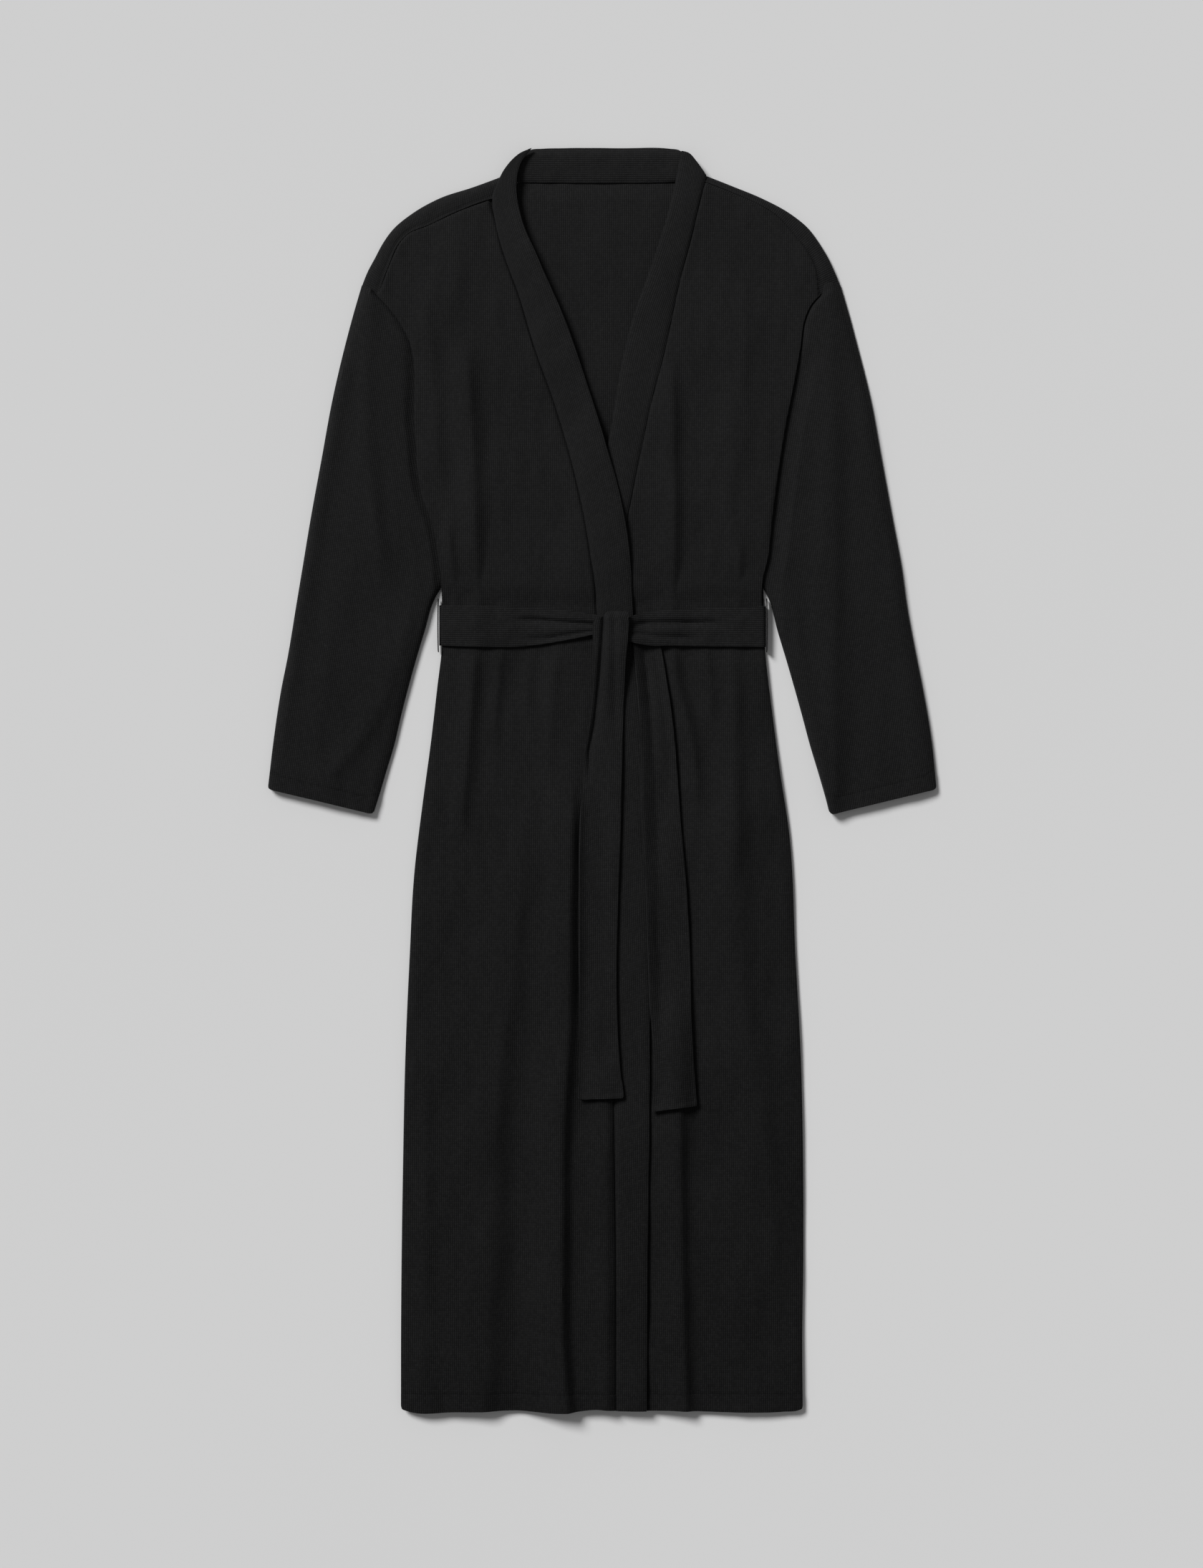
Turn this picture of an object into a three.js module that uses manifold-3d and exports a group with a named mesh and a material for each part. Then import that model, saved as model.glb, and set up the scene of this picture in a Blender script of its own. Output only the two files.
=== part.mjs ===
// A wrap bathrobe in waffle knit, laid flat on its back with the belt tied in front.
// Millimetres. +X is the wearer's left, +Y runs from the hem to the collar, +Z points up out of the front.
// The origin lies under the middle of the robe, on the surface that it rests on.
import * as THREE from "three";
import { mergeVertices } from "three/addons/utils/BufferGeometryUtils.js";
import Module from "manifold-3d";

const wasm = await Module();
wasm.setup();

// Cloth and stacking heights.
const cloth = 1.2; // one layer of waffle knit
const doubled = 2 * cloth; // hems, bands and the belt are folded double
const gap = 0.3; // between pieces that touch
const cavity = 5.6; // air between the back and the left front, above the belt's arch
const beltArch = doubled + gap; // how far the back rises over the belt behind it

// Overall sizes.
const robeLength = 1322; // hem to the top of the neck band
const hemHalf = 211; // half of the width at the hem
const hipHalf = 197;
const hipDrop = 260; // from the waist line down to the hip
const waistHalf = 168;
const waistDrop = 500; // from the top of the neck band down to the waist line
const bustHalf = 197;
const bustRise = 235; // from the waist line up to the bust
const hemDepth = 20; // turned hems of the body and the sleeves
const seamWidth = 3; // side and underarm seams

// Neck, bands and shoulders.
const bandWidth = 38;
const rightBandTopWidth = 18; // where each band turns over the shoulder
const leftBandTopWidth = 28;
const neckHalf = 94; // where the band's free edge leaves the neck
const neckBandDepth = 37;
const neckTopHalf = 78; // half of the neck band's straight top edge
const neckBaseHalf = 112; // where the collar meets the shoulder
const shoulderHalf = 252; // the dropped shoulder's outer point
const shoulderDrop = 147; // from the collar top down to that point
const armholeHalf = 205; // the armhole's inner end, at the side of the body
const armholeDrop = 195; // from the collar top down to it
const overlap = 48; // how far each front passes the middle, at the hem

// Sleeves.
const sleeveLength = 532; // along the outer edge
const sleeveAngle = 10.7; // degrees from straight down
const cuffWidth = 112;
const cuffSlant = 3; // degrees
const sleeveHeight = 10;
const sleeveBulge = 10; // the outer edge's belly
const sleeveWall = 4; // rolled edge of the flattened tube
const armpitDrop = 445; // from the collar top to where the sleeve leaves the body
const sleeveGap = 0.6; // between a sleeve and the body
const sleeveClear = 2; // between a sleeve and the belt loop

// Belt.
const beltWidth = 43;
const beltGather = 18; // its width where it enters the knot
const loopSpare = 7; // how far each belt loop stands past the belt's edges
const loopWidth = 8;
const knotX = 9;
const knotRadius = 20.5;
const knotHeight = 7.5;
const knotTop = 15.5; // from the waist line up to the knot's upper edge
const tailWidth = 45;
const tailInset = 3; // how far each edge of the upper tail stands inside the knot
const rightTailLength = 492; // from the waist line to its end
const leftTailLength = 502;
const leftTailX = 44; // where the lower tail comes out from under the belt
const rightTailLean = -12; // how far each tail's end stands from its start
const leftTailLean = 30;

// Levels worked out from the sizes above.
const collarY = robeLength / 2;
const hemY = -robeLength / 2;
const waistY = collarY - waistDrop;
const shoulderY = collarY - shoulderDrop;
const armholeY = collarY - armholeDrop;
const armpitY = collarY - armpitDrop;
const neckSeamY = collarY - neckBandDepth;
const beltLow = waistY - beltWidth / 2;
const beltHigh = waistY + beltWidth / 2;
const leftFrontZ = beltArch + cloth + cavity;
const leftFrontTop = leftFrontZ + cloth;
const rightFrontZ = leftFrontZ + doubled + gap;
const rightFrontTop = rightFrontZ + cloth;
const rightBandTop = rightFrontZ + doubled;
const leftTailZ = rightBandTop + gap;
const beltZ = leftTailZ + doubled + gap;
const beltTop = beltZ + doubled;
const knotZ = beltTop + gap;
const wrapInner = waistHalf + cloth;
const wrapOuter = wrapInner + doubled;

const knit = (color) => new THREE.MeshStandardMaterial({ color, roughness: 0.92, metalness: 0 });
const bodyKnit = knit(0x1d1d1e);
const bandKnit = knit(0x202022);
const beltKnit = knit(0x222223);
const seamKnit = knit(0x141415);

const robe = new THREE.Group();

// A closed three.js geometry as a manifold-3d solid, and back.
function solid(geometry) {
  const bare = geometry.clone();
  bare.deleteAttribute("normal");
  bare.deleteAttribute("uv");
  const merged = mergeVertices(bare, 1e-3);
  const vertProperties = merged.attributes.position.array;
  const triVerts = new Uint32Array(merged.index.array);
  return new wasm.Manifold(new wasm.Mesh({ numProp: 3, vertProperties, triVerts }));
}

function addPiece(name, body, material) {
  const made = body.getMesh();
  const geometry = new THREE.BufferGeometry();
  geometry.setAttribute("position", new THREE.BufferAttribute(new Float32Array(made.vertProperties), 3));
  geometry.setIndex(new THREE.BufferAttribute(new Uint32Array(made.triVerts), 1));
  geometry.computeVertexNormals();
  const mesh = new THREE.Mesh(geometry, material);
  mesh.name = name;
  robe.add(mesh);
}

// Outlines are lists of [x, y]. A smooth stretch is a spline through a few of them.
const smooth = (points, steps) =>
  new THREE.SplineCurve(points.map(([x, y]) => new THREE.Vector2(x, y))).getPoints(steps).map((p) => [p.x, p.y]);
const mirrored = (points) => points.map(([x, y]) => [-x, y]);
const reversed = (points) => [...points].reverse();
const shapeOf = (points) => new THREE.Shape(points.map(([x, y]) => new THREE.Vector2(x, y)));

// A flat sheet of that outline between two heights.
const plate = (points, low, high) =>
  solid(new THREE.ExtrudeGeometry(shapeOf(points), { depth: high - low, bevelEnabled: false }).translate(0, 0, low));

const block = (x0, x1, y0, y1, z0, z1) =>
  plate([[x0, y0], [x1, y0], [x1, y1], [x0, y1]], z0, z1);

// A profile in Y and Z, drawn across the whole width of the robe.
function acrossRobe(profile) {
  const width = 4 * shoulderHalf;
  const geometry = new THREE.ExtrudeGeometry(shapeOf(profile), { depth: width, bevelEnabled: false });
  geometry.applyMatrix4(new THREE.Matrix4().set(0, 0, 1, -width / 2, 1, 0, 0, 0, 0, 1, 0, 0, 0, 0, 0, 1));
  return solid(geometry);
}

// A line moved sideways by a distance, to its left as it runs. A share under 1 narrows the start.
function offset(line, distance, startShare = 1) {
  return line.map(([x, y], i) => {
    const [ax, ay] = line[Math.max(i - 1, 0)];
    const [bx, by] = line[Math.min(i + 1, line.length - 1)];
    const long = Math.hypot(bx - ax, by - ay);
    const moved = distance * Math.min(1, startShare + 1.25 * (1 - startShare) * (i / line.length) * 3);
    return [x - ((by - ay) / long) * moved, y + ((bx - ax) / long) * moved];
  });
}

// The body's side from the hem up to the armhole, on the wearer's left.
const side = [
  ...smooth([[hemHalf, hemY], [(hemHalf + hipHalf) / 2 + 2, (hemY + waistY - hipDrop) / 2],
    [hipHalf, waistY - hipDrop], [waistHalf + 1, beltLow - 8]], 12),
  ...smooth([[waistHalf, beltHigh + 4], [bustHalf - 14, waistY + bustRise * 0.6],
    [bustHalf, waistY + bustRise], [armholeHalf, armholeY]], 8),
];

// The shoulder's outline, from its outer point up to the foot of the collar.
const shoulder = smooth([[shoulderHalf, shoulderY], [shoulderHalf - 14, shoulderY + 33],
  [shoulderHalf - 33, shoulderY + 62], [shoulderHalf - 69, shoulderY + 88],
  [neckBaseHalf, collarY - 34]], 10);

// Where a line that runs downwards passes a height.
const beside = (line, y) => line.find((p) => p[1] <= y)[0];

// Each front's free edge, from the collar down to the hem.
const rightEdge = smooth([[-neckHalf + 3, neckSeamY - 1], [-neckHalf + 7, neckSeamY - 36],
  [-35, armholeY + 1], [4, armholeY - 121], [overlap - 17, beltHigh + 36], [overlap - 10, beltLow - 80],
  [overlap - 3, waistY - hipDrop], [overlap, waistY - 2 * hipDrop], [overlap, hemY]], 32);
const leftEdge = smooth([[neckHalf - 17, neckSeamY - 1], [neckHalf - 28, neckSeamY - 36],
  [31, armholeY + 1], [6, armholeY - 121], [-overlap + 24, beltHigh + 36], [-overlap + 13, beltLow - 80],
  [-overlap + 4, waistY - hipDrop], [-overlap, waistY - 2 * hipDrop], [-overlap, hemY]], 32);
const rightBandSeam = offset(rightEdge, -bandWidth, rightBandTopWidth / bandWidth);
const leftBandSeam = offset(leftEdge, bandWidth, leftBandTopWidth / bandWidth);

// Shoulder seams, from the armhole to the neck. The back wraps over to the front as far as these.
const rightSeam = smooth([[-shoulderHalf + 14, shoulderY - 8], [-shoulderHalf + 29, shoulderY + 27],
  [-shoulderHalf + 44, shoulderY + 54], [-shoulderHalf + 98, shoulderY + 82],
  [beside(rightBandSeam, collarY - 52) - 2.5, collarY - 52]], 8);
const leftSeam = smooth([[shoulderHalf - 18, shoulderY - 4], [shoulderHalf - 30, shoulderY + 26],
  [shoulderHalf - 54, shoulderY + 63], [shoulderHalf - 102, shoulderY + 91],
  [beside(leftBandSeam, collarY - 42) + 2.5, collarY - 42]], 8);

const above = (line, y) => line.filter((p) => p[1] > y + 1);
const below = (line, y) => line.filter((p) => p[1] < y - 1);

// The back: one sheet that arches over the belt and folds over both shoulders.
const leftHalfOfBack = [...side, ...shoulder];
const backOutline = [...leftHalfOfBack, [neckHalf, neckSeamY - gap], [-neckHalf, neckSeamY - gap],
  ...reversed(mirrored(leftHalfOfBack))];
const ramp = 14;
const underBack = [[hemY + hemDepth + gap, 0], [beltLow - ramp, 0], [beltLow - 1, beltArch],
  [beltHigh + 1, beltArch], [beltHigh + ramp, 0], [collarY, 0]];
const backSheet = acrossRobe([...underBack, ...reversed(underBack.map(([y, z]) => [y, z + cloth]))]);
function shoulderFold(outline, inward, seam, top) {
  const wall = plate([...outline, ...reversed(offset(outline, inward))], 0, top);
  return plate([...outline, ...reversed(seam)], top - cloth, top).add(wall);
}
const backPanel = backSheet
  .intersect(plate(backOutline, -1, 4 * cloth + beltArch))
  .add(shoulderFold(shoulder, cloth, leftSeam, leftFrontTop))
  .add(shoulderFold(mirrored(shoulder), -cloth, rightSeam, rightFrontTop));
addPiece("back_panel", backPanel, bodyKnit);

// The fronts, cut back from the hem, the shoulder seam and the band.
function frontOutline(sideLine, armhole, seam, bandSeam) {
  const seamLine = offset(seam, Math.sign(seam[0][0]) * gap);
  const cutBand = bandSeam.map(([x, y]) => [x + Math.sign(seam[0][0]) * gap, y]);
  const hemLine = hemY + hemDepth + gap;
  const lower = cutBand[cutBand.length - 1];
  return [[sideLine[0][0], hemLine], ...above(sideLine, hemLine), armhole, ...seamLine,
    ...below(above(cutBand, hemLine), seamLine[seamLine.length - 1][1]), [lower[0], hemLine]];
}
const rightArmhole = [-armholeHalf - 6, armholeY + 14];
const leftArmhole = [armholeHalf + 6, armholeY + 18];
const rightFront = frontOutline(mirrored(side), rightArmhole, rightSeam, rightBandSeam);
const leftFront = frontOutline(side, leftArmhole, leftSeam, leftBandSeam);
addPiece("right_front_panel", plate(rightFront, rightFrontZ, rightFrontTop), bodyKnit);
addPiece("left_front_panel", plate(leftFront, leftFrontZ, leftFrontTop), bodyKnit);

// Turned hems along the bottom.
function hem(name, x0, x1, low) {
  addPiece(name, block(Math.min(x0, x1), Math.max(x0, x1), hemY, hemY + hemDepth, low, low + doubled), bodyKnit);
}
hem("back_hem", -hemHalf, hemHalf, 0);
hem("right_front_hem", -hemHalf, rightBandSeam[rightBandSeam.length - 1][0] - gap, rightFrontZ);
hem("left_front_hem", leftBandSeam[leftBandSeam.length - 1][0] + gap, hemHalf, leftFrontZ);

// Bands: folded strips sewn along each front's edge, with the neck band between them behind the neck.
addPiece("right_front_band", plate([...rightEdge, ...reversed(rightBandSeam)], rightFrontZ, rightBandTop), bandKnit);
addPiece("left_front_band", plate([...leftEdge, ...reversed(leftBandSeam)], leftFrontZ, leftFrontZ + doubled), bandKnit);

const collarCorner = smooth([[neckBaseHalf - 2, collarY - 31], [neckHalf + 4, collarY - 17],
  [neckTopHalf + 6, collarY - 4], [neckTopHalf - 8, collarY]], 6);
const neckOutline = [...collarCorner, ...reversed(mirrored(collarCorner)), [-neckHalf, neckSeamY], [neckHalf, neckSeamY]];
const neckZ = cloth + gap;
const collarTurn = (x0, x1, top) =>
  plate(neckOutline, neckZ, top).intersect(block(x0, x1, neckSeamY, collarY, 0, 2 * top));
const neckBand = plate(neckOutline, neckZ, neckZ + doubled)
  .add(collarTurn(neckTopHalf + 4, 2 * neckHalf, leftFrontZ + doubled))
  .add(collarTurn(-2 * neckHalf, -neckTopHalf - 4, rightBandTop));
addPiece("neck_band", neckBand, bandKnit);

// Side seams stand between the back and each front, and stop at the belt.
function sideSeam(name, sign, low, high, top) {
  const outer = side.filter((p) => p[1] > low && p[1] < high).map(([x, y]) => [sign * x, y]);
  const inner = outer.map(([x, y]) => [x - sign * seamWidth, y]);
  addPiece(name, plate([...outer, ...reversed(inner)], doubled + gap, top - gap), seamKnit);
}
for (const [which, sign, top] of [["right", -1, rightFrontZ], ["left", 1, leftFrontZ]]) {
  sideSeam(which + "_skirt_side_seam", sign, hemY + hemDepth, beltLow - ramp, top);
  sideSeam(which + "_bodice_side_seam", sign, beltHigh + ramp, armholeY + 1, top);
}

// A sleeve is cloth folded along its outer edge and sewn under the arm. This is the wearer's left one.
const turn = (degrees) => (degrees * Math.PI) / 180;
const along = [Math.sin(turn(sleeveAngle)), -Math.cos(turn(sleeveAngle))];
const across = [-Math.cos(turn(sleeveAngle + cuffSlant)), -Math.sin(turn(sleeveAngle + cuffSlant))];
const outerAt = (distance, out) => [
  shoulderHalf + along[0] * distance - along[1] * out,
  shoulderY + along[1] * distance + along[0] * out,
];

// The edge next to the body, from the armhole down to where the cuff is cut.
function underarmEdge(inset, cuff, to) {
  const besideBody = reversed(side.filter((p) => p[1] > armpitY + 6 && p[1] < armholeY - 6))
    .map(([x, y]) => [x + sleeveGap + inset, y]);
  const armpit = [besideBody[besideBody.length - 1][0], armpitY];
  const besideLoop = [wrapOuter + gap + cloth + sleeveClear + inset, beltHigh + 5];
  const corner = outerAt(cuff, 0);
  const atCuff = [corner[0] + across[0] * (cuffWidth - inset), corner[1] + across[1] * (cuffWidth - inset)];
  return [[armholeHalf + sleeveGap + inset, armholeY - 2 + to], ...besideBody, armpit, besideLoop, atCuff];
}
const foldedEdge = (inset, cuff, to) =>
  smooth([outerAt(3 - to, -inset), outerAt(88, sleeveBulge - inset), outerAt(210, sleeveBulge - inset),
    outerAt(395, 0.6 * sleeveBulge - inset), outerAt(cuff, -inset)], 10);

function tube({ inset, underarmInset = inset, past = 0, up = 0, roll }) {
  const cuff = sleeveLength + past;
  const shape = shapeOf([...underarmEdge(underarmInset, cuff, up), ...reversed(foldedEdge(inset, cuff, up))]);
  const depth = sleeveHeight - 2 * inset - 2 * roll;
  const rounded = { depth, bevelThickness: roll, bevelSize: roll, bevelOffset: -roll, bevelSegments: 2 };
  return solid(new THREE.ExtrudeGeometry(shape, rounded).translate(0, 0, inset + roll));
}

// Keeps what lies beyond a line across the cuff, so far up the sleeve.
function cuffEnd(distance) {
  const at = outerAt(sleeveLength - distance, 40);
  const far = [at[0] + across[0] * 3 * cuffWidth, at[1] + across[1] * 3 * cuffWidth];
  const down = [along[0] * 2 * hemDepth, along[1] * 2 * hemDepth];
  return plate([at, far, [far[0] + 2 * down[0], far[1] + 2 * down[1]], [at[0] + 2 * down[0], at[1] + 2 * down[1]]],
    -1, 2 * sleeveHeight);
}
const sleeveOuter = tube({ inset: 0, roll: sleeveWall });
const sleeveCloth = sleeveOuter
  .subtract(tube({ inset: cloth, underarmInset: -hemDepth, past: hemDepth, up: hemDepth, roll: sleeveWall - cloth }))
  .subtract(cuffEnd(hemDepth + gap));
const sleeveHem = sleeveOuter
  .intersect(cuffEnd(hemDepth))
  .subtract(tube({ inset: doubled, past: hemDepth, roll: sleeveWall - doubled }));
const seamEnd = sleeveLength - hemDepth - 2 * gap;
const sleeveSeam = plate([...underarmEdge(0, seamEnd, 0), ...reversed(underarmEdge(seamWidth, seamEnd, 0))],
  cloth + gap, sleeveHeight - cloth - gap);
addPiece("left_sleeve", sleeveCloth, bodyKnit);
addPiece("left_sleeve_hem", sleeveHem, bodyKnit);
addPiece("left_sleeve_seam", sleeveSeam, seamKnit);
addPiece("right_sleeve", sleeveCloth.mirror([1, 0, 0]), bodyKnit);
addPiece("right_sleeve_hem", sleeveHem.mirror([1, 0, 0]), bodyKnit);
addPiece("right_sleeve_seam", sleeveSeam.mirror([1, 0, 0]), seamKnit);

// The belt: across the back, round each side and over the front into the knot.
addPiece("belt_back", block(-wrapInner + gap, wrapInner - gap, beltLow, beltHigh, 0, doubled), beltKnit);

function beltHalf(name, sign, end, gathered) {
  const reach = Math.abs(end - sign * wrapOuter);
  const narrowing = [[1, beltWidth / 2], [0.85, beltWidth / 2 + 1], [0.6, beltWidth / 2 - 0.5], [0.3, (beltWidth + gathered) / 4 + 2],
    [0, gathered / 2]].map(([share, half]) => [end + sign * reach * share, half]);
  const upper = narrowing.map(([x, half]) => [x, waistY + half]);
  const lower = narrowing.map(([x, half]) => [x, waistY - half]);
  const outline = [...smooth(upper, 8), ...reversed(smooth(lower, 8))];
  const wrap = block(Math.min(sign * wrapInner, sign * wrapOuter), Math.max(sign * wrapInner, sign * wrapOuter),
    beltLow, beltHigh, 0, beltTop);
  addPiece(name, plate(outline, beltZ, beltTop).add(wrap), beltKnit);
}
beltHalf("belt_right_half", -1, knotX - knotRadius + 2, beltGather);
beltHalf("belt_left_half", 1, knotX + knotRadius - 2, beltGather * 1.5);

// Loops that hold the belt at each side seam.
function beltLoop(name, sign, foot) {
  const outer = wrapOuter + gap + cloth;
  const reach = [beltLow - loopSpare, beltHigh + loopSpare];
  const outline = [[foot, reach[0]], [outer, reach[0]], [outer, reach[1]], [foot, reach[1]],
    [foot, reach[1] - cloth], [outer - cloth, reach[1] - cloth], [outer - cloth, reach[0] + cloth],
    [foot, reach[0] + cloth]];
  addPiece(name, plate(outline.map(([x, y]) => [sign * x, y]), doubled, doubled + loopWidth), beltKnit);
}
beltLoop("right_belt_loop", -1, waistHalf + 2.5);
beltLoop("left_belt_loop", 1, waistHalf + 2.5);

// The knot's lower edge is round about the tail's pivot, so that the upper tail swings clear of it.
const knotShape = new THREE.Shape();
knotShape.moveTo(knotX - knotRadius, waistY);
knotShape.absarc(knotX, waistY, knotRadius, Math.PI, 2 * Math.PI, false);
knotShape.lineTo(knotX + knotRadius, waistY + knotTop - 4);
knotShape.lineTo(knotX + knotRadius - 4, waistY + knotTop);
knotShape.lineTo(knotX - knotRadius + 4, waistY + knotTop);
knotShape.lineTo(knotX - knotRadius, waistY + knotTop - 4);
const knotRound = { depth: knotHeight - 4, bevelThickness: 2, bevelSize: 2, bevelOffset: -2, bevelSegments: 1, curveSegments: 7 };
addPiece("knot", solid(new THREE.ExtrudeGeometry(knotShape, knotRound).translate(0, 0, knotZ + 2)), beltKnit);

// Tails: the upper one hangs over the knot, and the lower one comes out from under the belt.
function tailSides(startX, startHalf, startY, length, lean) {
  const endY = waistY - length;
  const half = tailWidth / 2;
  const edge = (sign) => smooth([[startX + sign * startHalf, startY],
    [startX + lean * 0.5 + sign * (half - 2), waistY - length * 0.35],
    [startX + lean * 0.8 + sign * (half - 1.5), waistY - length * 0.7],
    [startX + lean + sign * half, endY]], 9);
  return [...edge(-1), ...reversed(edge(1))];
}
const tailTopHalf = knotRadius - tailInset;
const arcRadius = knotRadius + gap;
const arcEnd = Math.acos(tailTopHalf / arcRadius);
const underKnot = new THREE.Path();
underKnot.absarc(knotX, waistY, arcRadius, -arcEnd, -Math.PI + arcEnd, true);
const tailArc = underKnot.getPoints(9).slice(1, -1).map((p) => [p.x, p.y]);
const tailStartY = waistY - arcRadius * Math.sin(arcEnd);
const rightTail = [...tailSides(knotX, tailTopHalf, tailStartY, rightTailLength, rightTailLean), ...tailArc];
const leftTail = tailSides(leftTailX, 14, waistY, leftTailLength, leftTailLean);
addPiece("right_belt_tail", plate(rightTail, knotZ, knotZ + doubled), beltKnit);
addPiece("left_belt_tail", plate(leftTail, leftTailZ, leftTailZ + doubled), beltKnit);

export default robe;
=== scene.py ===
import bpy
import math
import numpy as np
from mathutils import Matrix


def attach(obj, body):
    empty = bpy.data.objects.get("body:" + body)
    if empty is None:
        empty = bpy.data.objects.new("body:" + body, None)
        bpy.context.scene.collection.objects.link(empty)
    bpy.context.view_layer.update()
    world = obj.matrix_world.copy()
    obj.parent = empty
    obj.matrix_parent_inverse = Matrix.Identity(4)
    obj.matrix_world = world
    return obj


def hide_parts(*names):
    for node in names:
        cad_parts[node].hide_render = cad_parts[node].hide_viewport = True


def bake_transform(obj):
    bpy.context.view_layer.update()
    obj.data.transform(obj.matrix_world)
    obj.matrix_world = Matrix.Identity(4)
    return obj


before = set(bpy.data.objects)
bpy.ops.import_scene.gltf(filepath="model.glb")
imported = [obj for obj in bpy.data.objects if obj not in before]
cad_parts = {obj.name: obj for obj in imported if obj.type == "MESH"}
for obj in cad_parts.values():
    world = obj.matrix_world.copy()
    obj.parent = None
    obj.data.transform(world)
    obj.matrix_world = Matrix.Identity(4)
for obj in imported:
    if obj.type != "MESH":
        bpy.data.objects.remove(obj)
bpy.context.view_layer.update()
mm = 0.001  # sizes below are in millimetres, and meshes are made in metres


# Lines, patches and heights that every piece of cloth is laid with

def smoothLine(points, shares):  # a smooth line through a few points, read at shares of its length
    p = np.array(points, float)
    steps = np.linalg.norm(np.diff(p, axis=0), axis=1)
    t = np.r_[0, np.cumsum(steps)]
    slope = np.gradient(p, t, axis=0) if len(p) > 2 else np.repeat(np.diff(p, axis=0) / steps, 2, 0)
    fine = np.linspace(0, t[-1], 60 * len(p))
    k = np.clip(np.searchsorted(t, fine, side="right") - 1, 0, len(p) - 2)
    h = steps[k][:, None]
    s = (fine - t[k])[:, None] / h
    line = ((2 * s**3 - 3 * s**2 + 1) * p[k] + (s**3 - 2 * s**2 + s) * h * slope[k]
            + (3 * s**2 - 2 * s**3) * p[k + 1] + (s**3 - s**2) * h * slope[k + 1])
    far = np.r_[0, np.cumsum(np.linalg.norm(np.diff(line, axis=0), axis=1))]
    want = np.asarray(shares) * far[-1]
    return np.stack([np.interp(want, far, line[:, c]) for c in range(p.shape[1])], 1)


def xAt(points, y):  # how far across a line is where it passes a height up the robe
    line = smoothLine(points, np.linspace(0, 1, 240))
    order = np.argsort(line[:, 1])
    return np.interp(y, line[order, 1], line[order, 0])


def ease(t):
    t = np.clip(t, 0, 1)
    return t * t * (3 - 2 * t)


def quarterRound(d, radius):  # the rise of a soft turned edge, from 0 at the edge to 1 inside it
    return np.sqrt(1 - (1 - np.clip(d / radius, 0, 1)) ** 2)


def spread(count, *dense):  # steps from 0 to 1, closer together round some places
    fine = np.linspace(0, 1, 2000)
    weight = np.ones(2000)
    for place, wide, much in dense:
        weight += much * np.exp(-(((fine - place) / wide) ** 2))
    run = np.r_[0, np.cumsum((weight[1:] + weight[:-1]) / 2)]
    return np.interp(np.linspace(0, 1, count + 1), run / run[-1], fine)


def patch(bottom, top, left, right, u, v):  # a grid between four lines, its rows from bottom to top
    low, high = smoothLine(bottom, u)[None], smoothLine(top, u)[None]
    west, east = smoothLine(left, v)[:, None], smoothLine(right, v)[:, None]
    a, b = u[None, :, None], v[:, None, None]
    corners = ((1 - a) * (1 - b) * low[:, :1] + a * (1 - b) * low[:, -1:]
               + (1 - a) * b * high[:, :1] + a * b * high[:, -1:])
    return (1 - b) * low + b * high + (1 - a) * west + a * east - corners


def acrossFrom(plan, column):  # how far each point is from one edge column, along its own row
    step = np.linalg.norm(np.diff(plan, axis=1), axis=2)
    run = np.c_[np.zeros(len(plan)), np.cumsum(step, 1)]
    return run if column == 0 else run[:, -1:] - run


def acrossEnd(plan, line):  # how far each point is from the line that a piece ends on
    away = np.full(plan.shape[:2], 1e9)
    for point in smoothLine(line, np.linspace(0, 1, 40)):
        away = np.minimum(away, np.linalg.norm(plan - point, axis=2))
    return away


def foldHeight(x, y, folds):  # soft ridges that run along the robe, each falling its own way at either side
    total = np.zeros_like(x)
    for line, up, left, right, fade in folds:
        off = x - xAt(line, y)
        ends = sorted([line[0][1], line[-1][1]])
        shape = np.exp(-np.abs(off / np.where(off < 0, left, right)) ** 1.7)
        total += up * shape * ease((y - ends[0] + fade) / fade) * ease((ends[1] - y + fade) / fade)
    return total


def wobble(x, y, seed, across, along, up):  # the unevenness of cloth laid down by hand
    rng = np.random.default_rng(seed)
    total = np.zeros_like(x)
    for i in range(9):
        kx, ky = rng.normal(0, 1 / across), rng.normal(0, 1 / along)
        phase, lean = rng.uniform(0, 2 * math.pi, 2)
        total += np.sin(2 * math.pi * (kx * x + ky * y) + phase + 0.8 * np.sin(y / along + lean))
    return up * total / 3


# The pile: how high the cloth already laid reaches, in 2.5 mm squares

pileStep = 2.5
pileHeight = np.zeros((570, 320))


def pileIndex(x, y):
    return (np.clip(np.rint((y + 700) / pileStep).astype(int), 0, 569),
            np.clip(np.rint((x + 400) / pileStep).astype(int), 0, 319))


def addToPile(plan, top):
    for a in (0, 0.34, 0.67):
        for b in (0, 0.34, 0.67):
            mix = [(1 - a) * (1 - b) * g[:-1, :-1] + a * (1 - b) * g[:-1, 1:]
                   + (1 - a) * b * g[1:, :-1] + a * b * g[1:, 1:] for g in (plan[..., 0], plan[..., 1], top)]
            np.maximum.at(pileHeight, pileIndex(mix[0], mix[1]), mix[2])


def pileTop(x, y, reach, calm):  # the highest cloth within reach, evened out
    grid = pileHeight.copy()
    n = int(round(reach / pileStep))
    for axis in (0, 1):
        grid = np.max([np.roll(grid, k, axis) for k in range(-n, n + 1)], 0)
    m = int(round(calm / pileStep))
    for axis in (0, 1):
        grid = np.mean([np.roll(grid, k, axis) for k in range(-m, m + 1)], 0)
    i, j = (y + 700) / pileStep, (x + 400) / pileStep
    i0, j0 = np.clip(i.astype(int), 0, 568), np.clip(j.astype(int), 0, 318)
    a, b = i - i0, j - j0
    return ((1 - a) * (1 - b) * grid[i0, j0] + a * (1 - b) * grid[i0 + 1, j0]
            + (1 - a) * b * grid[i0, j0 + 1] + a * b * grid[i0 + 1, j0 + 1])


# Finishes

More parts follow.
